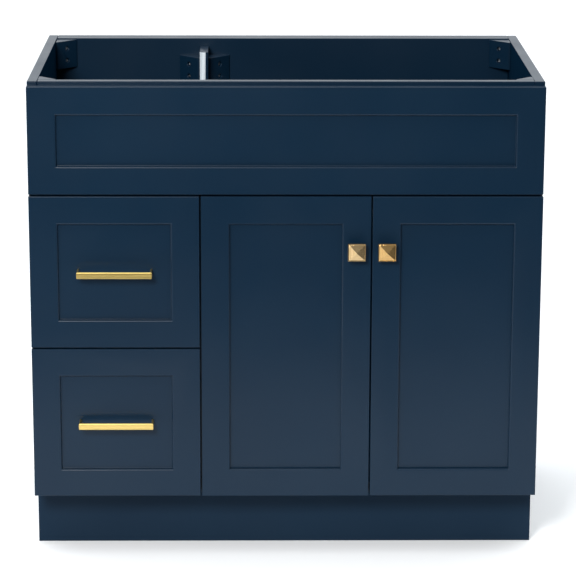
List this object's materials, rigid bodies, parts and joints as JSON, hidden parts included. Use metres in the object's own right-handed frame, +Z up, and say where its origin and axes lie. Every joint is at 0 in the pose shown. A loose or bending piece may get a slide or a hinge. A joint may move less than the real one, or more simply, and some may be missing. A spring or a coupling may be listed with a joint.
{
  "type": "bathroom vanity cabinet",
  "caption": "Painted vanity base with an open top, a sunk-panel false front, drawers with bar pulls beside a pair of doors with square knobs, and a recessed toe kick.",
  "frame": {"origin": "on the floor, at the middle of the cabinet's overall box", "axes": "+X to the right seen from the front, +Y back towards the wall, +Z up; the doors face -Y"},
  "size_m": [0.9144, 0.5744, 0.8763],
  "materials": {
    "navy_paint": "satin navy paint over wood board",
    "brushed_brass": "brushed satin brass",
    "zinc_steel": "zinc-plated steel",
    "birch": "clear satin lacquer on birch"
  },
  "bodies": {
    "root": {"left_side": "navy_paint", "right_side": "navy_paint", "bottom_panel": "navy_paint", "toe_kick": "navy_paint", "back_panel": "navy_paint", "back_rail": "navy_paint", "front_rail": "navy_paint", "cross_rail": "navy_paint", "partition": "navy_paint", "back_block_left": "navy_paint", "back_block_right": "navy_paint", "front_block_left": "navy_paint", "front_block_right": "navy_paint", "partition_block_left": "navy_paint", "partition_block_right": "navy_paint", "false_front": "navy_paint", "upper_slide_outer_left": "zinc_steel", "upper_slide_outer_right": "zinc_steel", "lower_slide_outer_left": "zinc_steel", "lower_slide_outer_right": "zinc_steel", "left_hinge_arm_lower": "zinc_steel", "left_hinge_arm_upper": "zinc_steel", "right_hinge_arm_lower": "zinc_steel", "right_hinge_arm_upper": "zinc_steel"},
    "upper_drawer": {"upper_drawer_front": "navy_paint", "upper_drawer_pull": "brushed_brass", "upper_box_left": "birch", "upper_box_right": "birch", "upper_box_front": "birch", "upper_box_back": "birch", "upper_box_bottom": "birch", "upper_slide_inner_left": "zinc_steel", "upper_slide_inner_right": "zinc_steel"},
    "lower_drawer": {"lower_drawer_front": "navy_paint", "lower_drawer_pull": "brushed_brass", "lower_box_left": "birch", "lower_box_right": "birch", "lower_box_front": "birch", "lower_box_back": "birch", "lower_box_bottom": "birch", "lower_slide_inner_left": "zinc_steel", "lower_slide_inner_right": "zinc_steel"},
    "upper_slide_middles": {"upper_slide_middle_left": "zinc_steel", "upper_slide_middle_right": "zinc_steel"},
    "lower_slide_middles": {"lower_slide_middle_left": "zinc_steel", "lower_slide_middle_right": "zinc_steel"},
    "left_door": {"left_door_frame": "navy_paint", "left_door_panel": "navy_paint", "left_door_knob": "brushed_brass", "left_hinge_cup_lower": "zinc_steel", "left_hinge_cup_upper": "zinc_steel"},
    "right_door": {"right_door_frame": "navy_paint", "right_door_panel": "navy_paint", "right_door_knob": "brushed_brass", "right_hinge_cup_lower": "zinc_steel", "right_hinge_cup_upper": "zinc_steel"},
    "left_hinge_links": {"left_hinge_link_lower": "zinc_steel", "left_hinge_link_upper": "zinc_steel"},
    "right_hinge_links": {"right_hinge_link_lower": "zinc_steel", "right_hinge_link_upper": "zinc_steel"}
  },
  "joints": [
    {"name": "upper_drawer_slide", "type": "slide", "parent": "root", "child": "upper_drawer", "axis": [0, -1, 0], "range_m": [0, 0.4]},
    {"name": "upper_middles_slide", "type": "slide", "parent": "root", "child": "upper_slide_middles", "axis": [0, -1, 0], "range_m": [0, 0.2]},
    {"name": "lower_drawer_slide", "type": "slide", "parent": "root", "child": "lower_drawer", "axis": [0, -1, 0], "range_m": [0, 0.4]},
    {"name": "lower_middles_slide", "type": "slide", "parent": "root", "child": "lower_slide_middles", "axis": [0, -1, 0], "range_m": [0, 0.2]},
    {"name": "left_door_hinge", "type": "hinge", "parent": "root", "child": "left_door", "pos_m": [-0.1438, -0.2524, 0.3937], "axis": [0, 0, -1], "range_deg": [0, 84]},
    {"name": "left_link_hinge", "type": "hinge", "parent": "root", "child": "left_hinge_links", "pos_m": [-0.1186, -0.2358, 0.3937], "axis": [0, 0, -1], "range_deg": [-23, 0]},
    {"name": "right_door_hinge", "type": "hinge", "parent": "root", "child": "right_door", "pos_m": [0.4496, -0.2524, 0.3937], "axis": [0, 0, 1], "range_deg": [0, 105]},
    {"name": "right_link_hinge", "type": "hinge", "parent": "root", "child": "right_hinge_links", "pos_m": [0.4244, -0.2358, 0.3937], "axis": [0, 0, 1], "range_deg": [-28.7, 0]}
  ],
  "couplings": [
    {"joint": "upper_middles_slide", "follows": "upper_drawer_slide", "ratio": 0.5},
    {"joint": "lower_middles_slide", "follows": "lower_drawer_slide", "ratio": 0.5},
    {"joint": "left_link_hinge", "follows": "left_door_hinge", "ratio": -0.273},
    {"joint": "right_link_hinge", "follows": "right_door_hinge", "ratio": -0.273}
  ]
}
